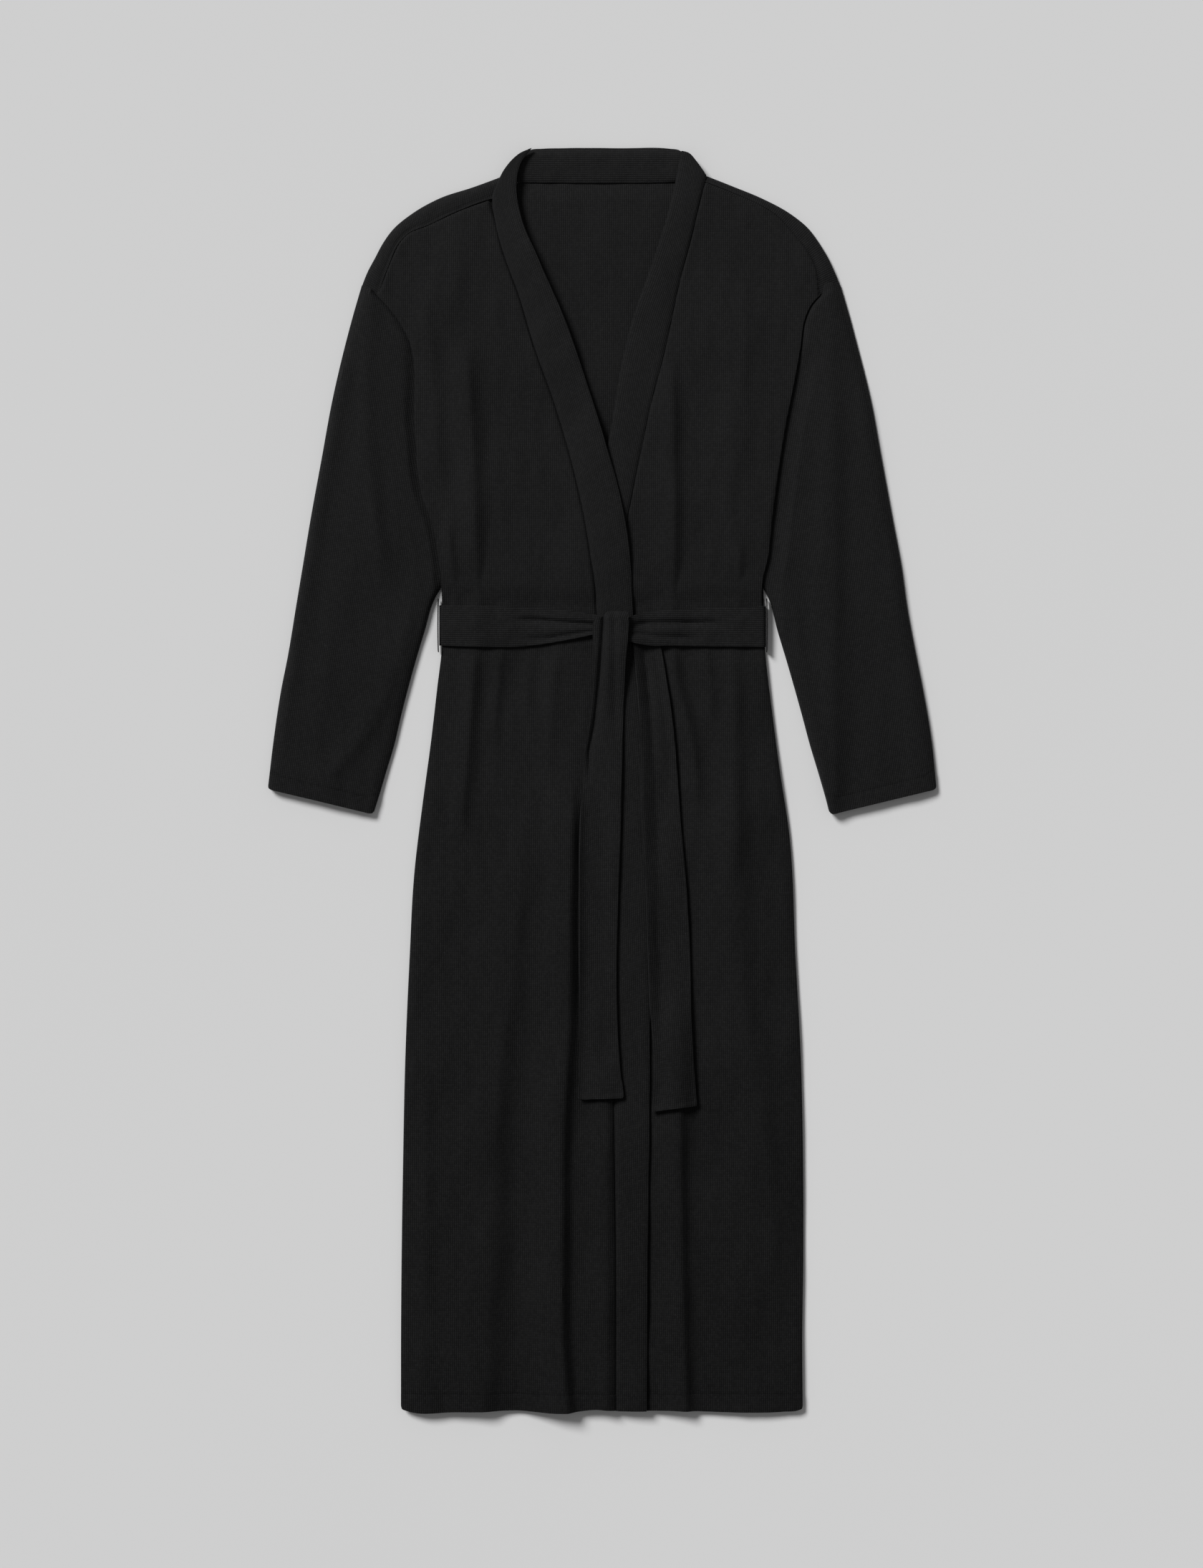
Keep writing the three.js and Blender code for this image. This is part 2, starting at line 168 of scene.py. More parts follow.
def joinNodes(tree, operation, a, b=0.0):
    step = tree.nodes.new("ShaderNodeMath")
    step.operation = operation
    for socket, value in zip(step.inputs, (a, b)):
        if isinstance(value, bpy.types.NodeSocket):
            tree.links.new(value, socket)
        else:
            socket.default_value = value
    return step.outputs[0]


knitLook = {"ribPitch": 0.0022, "drift": 110, "fuzz": 1100, "ribWander": 0.0010, "rungWander": 0.0024,
            "rough": 0.55}


def makeWaffleKnit():  # ribs with finer rungs across them, no two loops of yarn quite alike
    group = bpy.data.node_groups.new("waffleKnit", "ShaderNodeTree")
    face = group.interface
    face.new_socket("Cloth", in_out="INPUT", socket_type="NodeSocketVector")
    pitch = face.new_socket("Rib pitch", in_out="INPUT", socket_type="NodeSocketFloat")
    pitch.default_value = knitLook["ribPitch"]
    for name in ("Relief", "Loop", "Fuzz"):
        face.new_socket(name, in_out="OUTPUT", socket_type="NodeSocketFloat")
    ins, outs = group.nodes.new("NodeGroupInput"), group.nodes.new("NodeGroupOutput")
    drift, fuzz = group.nodes.new("ShaderNodeTexNoise"), group.nodes.new("ShaderNodeTexNoise")
    drift.inputs["Scale"].default_value = knitLook["drift"]
    drift.inputs["Detail"].default_value = 2
    fuzz.inputs["Scale"].default_value = knitLook["fuzz"]
    fuzz.inputs["Detail"].default_value = 3
    split = group.nodes.new("ShaderNodeSeparateXYZ")
    for socket in (drift.inputs["Vector"], fuzz.inputs["Vector"], split.inputs[0]):
        group.links.new(ins.outputs["Cloth"], socket)
    wander = joinNodes(group, "SUBTRACT", drift.outputs[0], 0.5)
    waves, cells = [], []
    for axis, longer, loose in (("X", 1.0, knitLook["ribWander"]), ("Y", 1.1, knitLook["rungWander"])):
        place = joinNodes(group, "ADD", split.outputs[axis], joinNodes(group, "MULTIPLY", wander, loose))
        step = joinNodes(group, "MULTIPLY", ins.outputs["Rib pitch"], longer)
        count = joinNodes(group, "DIVIDE", place, step)
        wave = joinNodes(group, "COSINE", joinNodes(group, "MULTIPLY", count, 2 * math.pi))
        waves.append(joinNodes(group, "ADD", joinNodes(group, "MULTIPLY", wave, 0.5), 0.5))
        cells.append(joinNodes(group, "ROUND", count))
    cell, lot = group.nodes.new("ShaderNodeCombineXYZ"), group.nodes.new("ShaderNodeTexWhiteNoise")
    lot.noise_dimensions = "2D"
    group.links.new(cells[0], cell.inputs["X"])
    group.links.new(cells[1], cell.inputs["Y"])
    group.links.new(cell.outputs[0], lot.inputs["Vector"])
    rung = joinNodes(group, "ADD", joinNodes(group, "MULTIPLY", waves[1], 0.5), 0.5)
    relief = joinNodes(group, "MULTIPLY", waves[0], rung)
    rough = joinNodes(group, "SUBTRACT", fuzz.outputs[0], 0.5)
    rough = joinNodes(group, "MULTIPLY", rough, knitLook["rough"])
    group.links.new(joinNodes(group, "ADD", relief, rough), outs.inputs["Relief"])
    group.links.new(lot.outputs["Value"], outs.inputs["Loop"])
    group.links.new(fuzz.outputs[0], outs.inputs["Fuzz"])
    return group


stitchLook = {"length": 0.0034, "threadShare": 0.7, "halfWidth": 0.45, "hollow": 3.2}


def makeStitchLine():  # a row of stitches sunk in the cloth, along the line where the stitch attribute is 0
    group = bpy.data.node_groups.new("stitchLine", "ShaderNodeTree")
    face = group.interface
    face.new_socket("Cloth", in_out="INPUT", socket_type="NodeSocketVector")
    face.new_socket("Away", in_out="INPUT", socket_type="NodeSocketFloat")
    face.new_socket("Thread", in_out="OUTPUT", socket_type="NodeSocketFloat")
    face.new_socket("Sunk", in_out="OUTPUT", socket_type="NodeSocketFloat")
    ins, outs = group.nodes.new("NodeGroupInput"), group.nodes.new("NodeGroupOutput")
    split = group.nodes.new("ShaderNodeSeparateXYZ")
    group.links.new(ins.outputs["Cloth"], split.inputs[0])
    along = joinNodes(group, "ADD", split.outputs["X"], split.outputs["Y"])
    share = joinNodes(group, "FRACT", joinNodes(group, "DIVIDE", along, stitchLook["length"]))
    dash = joinNodes(group, "LESS_THAN", share, stitchLook["threadShare"])
    off = joinNodes(group, "ABSOLUTE", ins.outputs["Away"])
    near = joinNodes(group, "LESS_THAN", off, stitchLook["halfWidth"])
    group.links.new(joinNodes(group, "MULTIPLY", dash, near), outs.inputs["Thread"])
    fall = joinNodes(group, "DIVIDE", joinNodes(group, "MULTIPLY", off, off), -stitchLook["hollow"])
    group.links.new(joinNodes(group, "EXPONENT", fall), outs.inputs["Sunk"])
    return group


waffleKnit, stitchLine = makeWaffleKnit(), makeStitchLine()


dyeAndPaintedLightLook = {
    "dark": 0.22, "pale": 2.05, "level": 0.54,  # how far the colour swings round the dye's tone
    # painted light: the second and third numbers on the next line make the colour paler towards the top and
    # darker towards the bottom
    "clouds": 0.36, "paintedLightUp": 0.36, "paintedShadeDown": 0.12, "specks": 0.5,
    # painted highlight: the fourth number on the next line makes the stitch threads paler
    # painted shade and light: the first number on the next line darkens the knit's hollows and lightens its
    # crests
    # painted shade: the last number on the next line darkens the colour along the stitch groove
    "paintedRibShade": 0.78, "loops": 0.3, "fuzz": 0.3, "paintedThreadHighlight": 0.25, "paintedGrooveShade": -0.22,
    "seamDepth": 1.1, "threadHeight": 0.9, "dull": 0.84, "dullFuzz": 0.14,
}


# the colour made here also holds painted light and shade: paler towards the top, darker in the knit's hollows
# and stitch grooves, paler on stitch threads
def dyeClothWithPaintedLight(name, tone, relief, shade=1.0):
    finish = bpy.data.materials.new(name)
    finish.use_nodes = True
    tree = finish.node_tree
    cloth = tree.nodes["Principled BSDF"]
    cloth.inputs["Specular IOR Level"].default_value = 0.12
    cloth.inputs["Sheen Weight"].default_value = 0.035
    cloth.inputs["Sheen Roughness"].default_value = 0.45
    cloth.inputs["Sheen Tint"].default_value = (0.75, 0.76, 0.80, 1)
    laid = tree.nodes.new("ShaderNodeUVMap")
    laid.uv_map = "knitMap"
    away = tree.nodes.new("ShaderNodeAttribute")
    away.attribute_name = "stitch"
    knit, sewn = tree.nodes.new("ShaderNodeGroup"), tree.nodes.new("ShaderNodeGroup")
    knit.node_tree, sewn.node_tree = waffleKnit, stitchLine
    tree.links.new(laid.outputs[0], knit.inputs["Cloth"])
    tree.links.new(laid.outputs[0], sewn.inputs["Cloth"])
    tree.links.new(away.outputs["Fac"], sewn.inputs["Away"])
    place = tree.nodes.new("ShaderNodeTexCoord")
    dye = tree.nodes.new("ShaderNodeTexNoise")  # slow changes of the dye and of the pile
    dye.inputs["Scale"].default_value = 11
    dye.inputs["Detail"].default_value = 5
    tree.links.new(place.outputs["Object"], dye.inputs["Vector"])
    lint = tree.nodes.new("ShaderNodeTexNoise")
    lint.inputs["Scale"].default_value = 420
    lint.inputs["Detail"].default_value = 1
    tree.links.new(place.outputs["Object"], lint.inputs["Vector"])
    speck = joinNodes(tree, "GREATER_THAN", lint.outputs[0], 0.75)
    speck = joinNodes(tree, "MULTIPLY", speck, dyeAndPaintedLightLook["specks"])
    height = tree.nodes.new("ShaderNodeSeparateXYZ")  # painted light: the colour grows paler towards the shoulders and darker towards the hem, as light falling off down the robe
    tree.links.new(place.outputs["Object"], height.inputs[0])
    paintedTopLight = joinNodes(tree, "MULTIPLY", height.outputs["Y"], dyeAndPaintedLightLook["paintedLightUp"])
    paintedTopLight = joinNodes(tree, "SUBTRACT", paintedTopLight, dyeAndPaintedLightLook["paintedShadeDown"])
    bright = joinNodes(tree, "ADD", joinNodes(tree, "MULTIPLY", dye.outputs[0], dyeAndPaintedLightLook["clouds"]), paintedTopLight)
    # painted shade and light: the knit's relief also darkens the colour in its hollows and lightens it on its
    # crests, and the fuzz noise in it adds random tone
    for share, much in ((knit.outputs["Relief"], dyeAndPaintedLightLook["paintedRibShade"]), (knit.outputs["Loop"], dyeAndPaintedLightLook["loops"]),
                        # painted highlight: the raised stitch threads are made paler in colour
                        (knit.outputs["Fuzz"], dyeAndPaintedLightLook["fuzz"]), (sewn.outputs["Thread"], dyeAndPaintedLightLook["paintedThreadHighlight"]),
                        # painted shade: the sunk stitch groove is also darkened in colour
                        (sewn.outputs["Sunk"], dyeAndPaintedLightLook["paintedGrooveShade"]), (speck, 1.0)):
        bright = joinNodes(tree, "ADD", bright, joinNodes(tree, "MULTIPLY", share, much))
    level = joinNodes(tree, "MULTIPLY", bright, dyeAndPaintedLightLook["level"])
    colour = tree.nodes.new("ShaderNodeMix")
    colour.data_type = "RGBA"
    colour.inputs["A"].default_value = (*[dyeAndPaintedLightLook["dark"] * t * shade for t in tone], 1)
    colour.inputs["B"].default_value = (*[dyeAndPaintedLightLook["pale"] * t * shade for t in tone], 1)
    tree.links.new(level, colour.inputs["Factor"])
    tree.links.new(colour.outputs["Result"], cloth.inputs["Base Color"])
    dull = joinNodes(tree, "MULTIPLY", knit.outputs["Fuzz"], dyeAndPaintedLightLook["dullFuzz"])
    tree.links.new(joinNodes(tree, "ADD", dull, dyeAndPaintedLightLook["dull"]), cloth.inputs["Roughness"])
    sunk = joinNodes(tree, "MULTIPLY", sewn.outputs["Sunk"], dyeAndPaintedLightLook["seamDepth"])
    face = joinNodes(tree, "SUBTRACT", knit.outputs["Relief"], sunk)
    raised = joinNodes(tree, "MULTIPLY", sewn.outputs["Thread"], dyeAndPaintedLightLook["threadHeight"])
    face = joinNodes(tree, "ADD", face, raised)
    bump = tree.nodes.new("ShaderNodeBump")
    bump.inputs["Strength"].default_value = 0.85
    bump.inputs["Distance"].default_value = relief
    tree.links.new(face, bump.inputs["Height"])
    tree.links.new(bump.outputs["Normal"], cloth.inputs["Normal"])
    return finish


robeBlack = (0.0111, 0.0111, 0.0113)
bodyKnit = dyeClothWithPaintedLight("bodyWaffleKnit", robeBlack, 0.00042)
bandKnit = dyeClothWithPaintedLight("bandWaffleKnit", robeBlack, 0.00040, shade=1.04)
beltKnit = dyeClothWithPaintedLight("beltWaffleKnit", robeBlack, 0.00045, shade=1.08)


# Laying a piece of cloth

def turnKnit(across, along, turn):  # the cloth's own map in metres, its ribs along the second axis
    c, s = math.cos(math.radians(turn)), math.sin(math.radians(turn))
    return np.dstack([across * c + along * s, along * c - across * s]) * mm


def knitFlat(plan, top, turn=0.0):  # the map of cloth that lies flat, stretched where it climbs a fold
    sloped = np.linalg.norm(np.diff(np.dstack([plan, top]), axis=1), axis=2)
    extra = np.c_[np.zeros(len(plan)), np.cumsum(sloped - np.linalg.norm(np.diff(plan, axis=1), axis=2), 1)]
    extra -= extra[:, [extra.shape[1] // 2]]
    return turnKnit(plan[..., 0], plan[..., 1], turn) + np.dstack([extra, 0 * extra]) * mm


def knitStrip(plan, top, turn=0.0):  # the same for a strip that curves, along its own middle
    points = np.dstack([plan, top])
    across = np.c_[np.zeros(len(plan)), np.cumsum(np.linalg.norm(np.diff(points, axis=1), axis=2), 1)]
    middle = points[:, points.shape[1] // 2]
    along = np.r_[0, np.cumsum(np.linalg.norm(np.diff(middle, axis=0), axis=1))][:, None] + 0 * across
    return turnKnit(across, along, turn)


def layCloth(name, plan, top, finish, knit, thick=1.3, stitch=None, turned=0.0, tube=False):
    rows, cols = top.shape
    bpy.ops.object.select_all(action="DESELECT")
    bpy.ops.mesh.primitive_grid_add(x_subdivisions=cols - 1, y_subdivisions=rows - 1, size=0.5)
    piece = bpy.context.object
    piece.name = piece.data.name = name
    mesh = piece.data
    mesh.vertices.foreach_set("co", (np.dstack([plan, top]) * mm).astype(np.float32).ravel())
    corner = np.zeros(len(mesh.loops), np.int32)
    mesh.loops.foreach_get("vertex_index", corner)
    mesh.uv_layers[0].name = "knitMap"
    mesh.uv_layers[0].data.foreach_set("uv", knit.reshape(-1, 2)[corner].astype(np.float32).ravel())
    away = mesh.attributes.new("stitch", "FLOAT", "POINT")
    stitch = np.full(top.shape, 60.0) if stitch is None else stitch
    away.data.foreach_set("value", stitch.astype(np.float32).ravel())
    mesh.update()
    if tube:
        bpy.ops.object.mode_set(mode="EDIT")
        bpy.ops.mesh.select_all(action="SELECT")
        bpy.ops.mesh.remove_doubles(threshold=0.00002)
        bpy.ops.object.mode_set(mode="OBJECT")
    shell = piece.modifiers.new("thickness", "SOLIDIFY")
    shell.thickness = thick * mm
    shell.offset = -1
    bpy.ops.object.modifier_apply(modifier="thickness")
    if turned:
        rim = piece.modifiers.new("turnedEdge", "BEVEL")
        rim.width = turned * mm
        rim.segments = 3
        rim.limit_method = "ANGLE"
        rim.angle_limit = math.radians(55)
        bpy.ops.object.modifier_apply(modifier="turnedEdge")
    bpy.ops.object.shade_smooth_by_angle(angle=math.radians(50))
    mesh.materials.clear()
    mesh.materials.append(finish)
    return piece


def joinCloth(pieces, name):  # parts of one cut of cloth become one piece
    bpy.ops.object.select_all(action="DESELECT")
    for piece in pieces:
        piece.select_set(True)
    bpy.context.view_layer.objects.active = pieces[0]
    bpy.ops.object.join()
    joined = bpy.context.object
    joined.name = joined.data.name = name
    return joined


# Where the folds of the two fronts run: line, height, reach to the left and to the right, fade at the ends

frontFolds = [
    ([(-84, -80), (-98, -224), (-112, -343), (-116, -487), (-120, -582), (-127, -690)], 8.0, 44, 17, 120),
    ([(-32, -62), (-34, -128), (-35, -248), (-41, -367), (-42, -487), (-42, -582), (-34, -690)],
     10.8, 30, 6, 72),
    ([(4, -330), (5, -500), (5, -690)], 4.6, 16, 6, 50),
    ([(80, -300), (82, -487), (88, -690)], 9.4, 30, 7, 90),
    ([(133, -57), (145, -224), (164, -343), (178, -460)], 6.4, 36, 18, 100),
    ([(150, -420), (146, -560), (150, -690)], 2.2, 30, 22, 90),
    ([(-186, -380), (-188, -690)], 3.0, 14, 12, 100),
    ([(-133, 146), (-138, 66), (-146, -20)], 5.8, 14, 8, 60),
    ([(-106, 146), (-112, 70)], 3.2, 9, 6, 50),
    ([(-74, 146), (-78, 88)], 1.8, 9, 7, 40),
    ([(-48, 146), (-54, 60)], 2.6, 9, 7, 50),
    ([(73, 146), (78, 96), (88, 64), (98, 0)], 5.4, 13, 7, 50),
    ([(108, 146), (113, 88)], 3.4, 9, 6, 40),
    ([(137, 146), (138, 30), (139, -60)], 4.0, 14, 10, 60),
    ([(-141, 420), (-136, 340), (-134, 267), (-129, 176)], 6.6, 18, 9, 60),
    ([(-160, 250), (-153, 176)], 4.0, 8, 6, 40),
    ([(-100, 240), (-96, 176)], 2.4, 10, 7, 35),
    ([(-64, 228), (-62, 176)], 1.8, 9, 7, 30),
    ([(-182, 475), (-173, 350)], 3.0, 12, 9, 50),
    ([(73, 390), (75, 270), (73, 176)], 5.8, 20, 7, 60),
    ([(113, 214), (112, 180)], 2.0, 8, 6, 40),
    ([(128, 206), (128, 180)], 1.6, 7, 6, 30),
    ([(143, 220), (142, 180)], 3.0, 8, 5, 40),
    ([(150, 480), (138, 360), (134, 260)], 3.0, 22, 15, 70),
    ([(-150, 560), (-160, 470)], 2.0, 22, 16, 60),
]
frontLay = {"rise": 6.6, "bodiceRise": 10.2, "sideLow": 3.3, "overSleeve": 9.0, "atBelt": 5.4, "edge": 12,
            "bodicePress": 52, "skirtPress": 22, "cover": 4.9, "coverRun": 46}
beltPlace = {"middle": 161, "half": 21.5}


def frontHeight(x, y):  # how high the fronts lie away from their side edges, before one crosses the other
    rise = frontLay["rise"] + (frontLay["bodiceRise"] - frontLay["rise"]) * ease((y - 190) / 110)
    z = rise + foldHeight(x, y, frontFolds) + wobble(x, y, 3, 150, 420, 1.2) + wobble(x, y, 8, 46, 120, 0.4)
    # the bodice blouses down to the belt more slowly than the skirt
    reach = np.where(y > beltPlace["middle"], frontLay["bodicePress"], frontLay["skirtPress"])
    pressed = ease((beltPlace["half"] + reach - np.abs(y - beltPlace["middle"])) / (reach + 2))
    return z * (1 - pressed) + (frontLay["atBelt"] + 0.45 * (z - rise)) * pressed


def sideHeight(y):  # where the fronts' side edges lie: on the back, or over a sleeve's inner margin
    over = ease((y - 170) / 34)
    z = frontLay["sideLow"] * (1 - over) + frontLay["overSleeve"] * over
    pressed = ease((beltPlace["half"] + 12 - np.abs(y - beltPlace["middle"])) / 10)
    return np.maximum(z, 5.0 * pressed)


# Outlines that pieces share

rightSide = [(-211, -655), (-211, -593), (-209, -413), (-206, -278), (-202, -188), (-197, -98), (-188, -23),
             (-180, 36), (-173, 96), (-168, 140), (-168, 186), (-169, 213), (-181, 276), (-187, 291),
             (-196, 364), (-205, 465), (-219, 487), (-237, 507)]
leftSide = [(209.5, -655), (209, -593), (210, -503), (210, -413), (207, -280), (202, -188), (195, -54),
            (186, 6), (178, 66), (169, 150), (168, 213), (172, 228), (177, 269), (183, 316), (191, 368),
            (200, 414), (207, 453), (211, 480), (218, 496), (229, 508)]
rightBandSeam = [(14, -660), (14, -500), (12, -343), (8, -150), (3, 0), (-3, 100), (-6, 172), (-8, 194),
                 (-18, 267), (-33, 334), (-52, 398), (-70, 448), (-89, 510), (-103, 548), (-113, 587),
                 (-115, 609), (-107, 630)]
rightBandFree = [(46, -660), (47, -500), (49, -343), (48, -100), (43, 50), (31, 184), (30, 213), (25, 262),
                 (17, 301), (4, 348), (-17, 415), (-39, 479), (-67, 543), (-85, 587), (-90, 618),
                 (-86, 642), (-74, 659)]
leftBandSeam = [(-12, -659), (-12, -343), (-8, -100), (0, 60), (8, 160), (18, 230), (30, 291), (36, 321),
                (52, 396), (66, 451), (80, 515), (94, 570), (104, 612), (109, 631)]
leftBandFree = [(-50, -659), (-50, -343), (-46, -100), (-38, 60), (-28, 160), (-14, 250), (5, 348),
                (11, 382), (22, 445), (33, 487), (50, 534), (62, 570), (75, 620), (82, 657)]
rightShoulderEdge = [(-252, 516), (-246, 531), (-238, 546), (-230, 561), (-219, 576), (-201, 591),
                     (-171, 608), (-135, 620), (-108, 630), (-98, 634)]
rightShoulderSeam = [(-237, 507), (-226, 537), (-212, 565), (-205, 572), (-182, 582), (-159, 593),
                     (-116, 609), (-104, 612)]
leftShoulderEdge = [(249, 516), (243, 531), (236, 546), (227, 561), (216, 576), (198, 591), (167, 608),
                    (138, 620), (110, 631), (102, 634)]
leftShoulderSeam = [(229, 508), (225, 537), (216, 554), (198, 576), (184, 591), (166, 602.5), (138, 615),
                    (104, 628)]


def rightCover(x, y):  # how much higher the right front lies where it crosses over the left one
    under = xAt(leftBandFree, y)
    return frontLay["cover"] * ease((x - under + frontLay["coverRun"]) / frontLay["coverRun"])


print("lines and finishes ready")


# Back: one cut from the hem to the neck seam, rolled forward over both shoulders

backCut = {"top": 1.7, "thick": 1.3, "arch": 1.9, "neckRise": 3.2, "hemStitch": -643}
shoulderRoll = {"high": 9.4, "outerFall": 1.2, "fold": 2.4, "round": 11, "lap": 2.4, "seamDip": 0.6,
                "under": 12, "thick": 1.2}


def rollShoulder(name, edge, seam, mirrored):
    v = np.linspace(0, 1, 46)
    outer, inner = smoothLine(edge, v), smoothLine(seam, v)
    wide = np.linalg.norm(outer - inner, axis=1)[:, None]
    lap, fold = shoulderRoll["lap"] / wide, shoulderRoll["fold"]
    over = np.linspace(0, 1, 22)[None, :] ** 0.8 * (1 + lap) - lap  # from just over the seam to the edge
    d = (1 - over) * wide
    high = shoulderRoll["high"] - shoulderRoll["outerFall"] * ease(1 - v[:, None] / 0.2)
    high = high + wobble(d + 60, 300 * v[:, None] + 0 * d, 5, 60, 90, 0.3)
    topZ = fold + (high - fold) * quarterRound(d, shoulderRoll["round"])
    topZ = topZ - shoulderRoll["seamDip"] * np.exp(-((wide - d) / 2) ** 2)
    under = np.linspace(0, 1, 9)[None, 1:]
    inward = under * shoulderRoll["under"]
    underZ = fold - (fold - backCut["top"] + 0.1) * quarterRound(inward, 5) - 1.3 * ease(under * 3)
    plan = np.concatenate([inner[:, None] + (outer - inner)[:, None] * over[..., None],
                           outer[:, None] + ((inner - outer) / wide)[:, None] * inward[..., None]], 1)
    z = np.concatenate([topZ, np.broadcast_to(np.maximum(underZ, 0.3), (46, 8))], 1)
    if not mirrored:
        plan, z = plan[:, ::-1], z[:, ::-1]
    piece = layCloth(name, plan, z, bodyKnit, knitStrip(plan, z, 90), shoulderRoll["thick"])
    addToPile(plan, z)
    return piece


def cutBack():
    u, v = spread(66, (0, 0.03, 1), (1, 0.03, 1)), spread(200, (0.985, 0.02, 1))
    left = [(-209, -658), (-207, -413), (-204, -278), (-195, -98), (-178, 36), (-172, 96), (-166, 117),
            (-165, 139), (-166, 213), (-176, 276), (-186, 364), (-194, 450), (-222, 500)]
    right = [(208, -658), (208, -413), (205, -280), (193, -54), (176, 66), (167, 150), (169, 180),
             (168, 205), (171, 250), (184, 364), (194, 440), (222, 500)]
    topLine = [(-222, 500), (-208, 558), (-180, 588), (-140, 605), (-104, 619), (-84, 626), (0, 624),
               (82, 626), (104, 619), (140, 605), (178, 588), (206, 558), (222, 500)]
    plan = patch([(-209, -658), (0, -660), (208, -658)], topLine, left, right, u, v)
    x, y = plan[..., 0], plan[..., 1]
    z = backCut["top"] + backCut["arch"] * ease((beltPlace["half"] + 9 - np.abs(y - beltPlace["middle"])) / 9)
    # Where the back shows inside the neck opening it rises a little
    seen = ease((y - 330) / 60) * ease((130 - np.abs(x)) / 50) * ease((634 - y) / 30)
    z = z + seen * (backCut["neckRise"] + wobble(x, y, 21, 60, 160, 0.7))
    away = np.minimum(np.abs(y - backCut["hemStitch"]), 60)
    piece = layCloth("backPanel", plan, z, bodyKnit, knitFlat(plan, z), backCut["thick"], away)
    addToPile(plan, z)
    return piece


back = cutBack()
back = joinCloth([back, rollShoulder("rightRoll", rightShoulderEdge, rightShoulderSeam, False),
                  rollShoulder("leftRoll", leftShoulderEdge, leftShoulderSeam, True)], "backPanel")
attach(back, "robe")
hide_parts("back_panel", "back_hem")
print("back laid")


# Neck band: doubled cloth along the back of the neck

neckBand = {"thick": 2.2, "low": 4.0, "dome": 2.4, "lean": 1.3, "turned": 0.9, "top": 661, "topFall": 1.2}


def cutNeckBand():
    u, v = spread(60, (0, 0.05, 1), (1, 0.05, 1)), spread(14, (0, 0.1, 1), (1, 0.1, 1))
    bottom = [(-97, 625), (-60, 624), (0, 623.5), (50, 624), (92, 626)]
    topLine = [(-84, 653), (-76, 658.5), (-62, 660), (-40, 660.6), (20, 660.5), (70, 660), (80, 658.5),
               (87, 653)]
    left, right = [bottom[0], (-92, 640), topLine[0]], [bottom[-1], (91, 640), topLine[-1]]
    plan = patch(bottom, topLine, left, right, u, v)
    x, y = plan[..., 0], plan[..., 1]
    up = v[:, None]
    dome = np.sin(math.pi * up.clip(0, 1)) ** 0.6
    z = neckBand["low"] + neckBand["dome"] * dome + neckBand["lean"] * ease((up - 0.3) / 0.6)
    z = z + wobble(x, y, 12, 50, 60, 0.35)
    z = z - neckBand["topFall"] * quarterRound(6 - np.clip(neckBand["top"] - y, 0, 6), 6)
    knit = knitFlat(plan, z, 90)
    piece = layCloth("neckBand", plan, z, bandKnit, knit, neckBand["thick"], None, neckBand["turned"])
    addToPile(plan, z)
    return piece


neck = cutNeckBand()
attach(neck, "robe")
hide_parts("neck_band")
print("neck band laid")


# Sleeves: tubes of cloth lying flat, each sewn in along the armhole and hemmed at the cuff

rightSleeveCut = {
    "outer": [(-350, -7), (-345, 36), (-336, 96), (-330, 126), (-320, 186), (-315, 216), (-305, 276),
              (-294, 336), (-283, 396), (-269, 456), (-261, 486), (-252, 517)],
    "inner": [(-238.5, -32), (-235, -21), (-227, 6), (-218, 36), (-211, 66), (-195, 126), (-186, 156),
              (-177, 186), (-160, 214)],
    "armhole": [(-252, 517), (-236, 509), (-217, 490), (-199, 466), (-184, 400), (-176, 340), (-170, 285),
                (-160, 214)],
    "cuff": [(-350, -7), (-349.2, -9.4), (-346.5, -11.1), (-340, -12.7), (-295, -23.4), (-250, -34.3),
             (-244, -35.7), (-240.6, -35.4), (-238.5, -32)],
    "folds": [([(-244, 490), (-245, 340), (-232, 242)], 3.6, 15, 9, 60),
              ([(-274, 428), (-294, 330), (-313, 218), (-330, 86)], 3.4, 14, 12, 80),
              ([(-199, 170), (-240, 62), (-283, 3)], 3.2, 20, 11, 50),
              ([(-258, 240), (-285, 120), (-300, 30)], 1.6, 22, 16, 80)],
    "edge": rightSide, "turn": 9.2, "outward": -1, "seed": 31, "gap": 0, "climb": 19,
}
leftSleeveCut = {
    "outer": [(349.3, -7), (345, 36), (335, 96), (329, 126), (318, 186), (314, 216), (303, 276), (292, 336),
              (281, 396), (266, 456), (258, 486), (249, 517)],
    "inner": [(236.5, -32), (234, -22), (226, 6), (217, 36), (209, 66), (192, 126), (183, 156), (175, 186),
              (160, 214)],
    "armhole": [(249, 517), (234, 519), (220, 508), (207, 490), (188, 410), (178, 350), (170, 285),
                (160, 214)],
    "cuff": [(349.3, -7), (348.5, -9.4), (346, -11.1), (339.5, -12.7), (294, -23.7), (249, -34.6),
             (242.5, -36.2), (239, -36), (236.5, -32)],
    "folds": [([(238, 500), (239, 389), (242, 242), (242, 145), (238, 8)], 4.0, 20, 11, 60),
              ([(200, 170), (216, 70), (240, -10)], 2.4, 14, 9, 50),
              ([(280, 380), (298, 240), (318, 100)], 2.4, 22, 14, 80)],
    "edge": leftSide, "turn": -9.2, "outward": 1, "seed": 44, "gap": 5, "climb": 30,
}
sleeveLay = {"middle": 2.3, "high": 8.6, "round": 13, "tucked": 4.6, "capRise": 9, "seamLow": 5.2,
             "seamRise": 6.8, "thick": 1.1, "hem": 15, "hemStep": 0.7, "low": 0.3, "lowRise": 1.9}


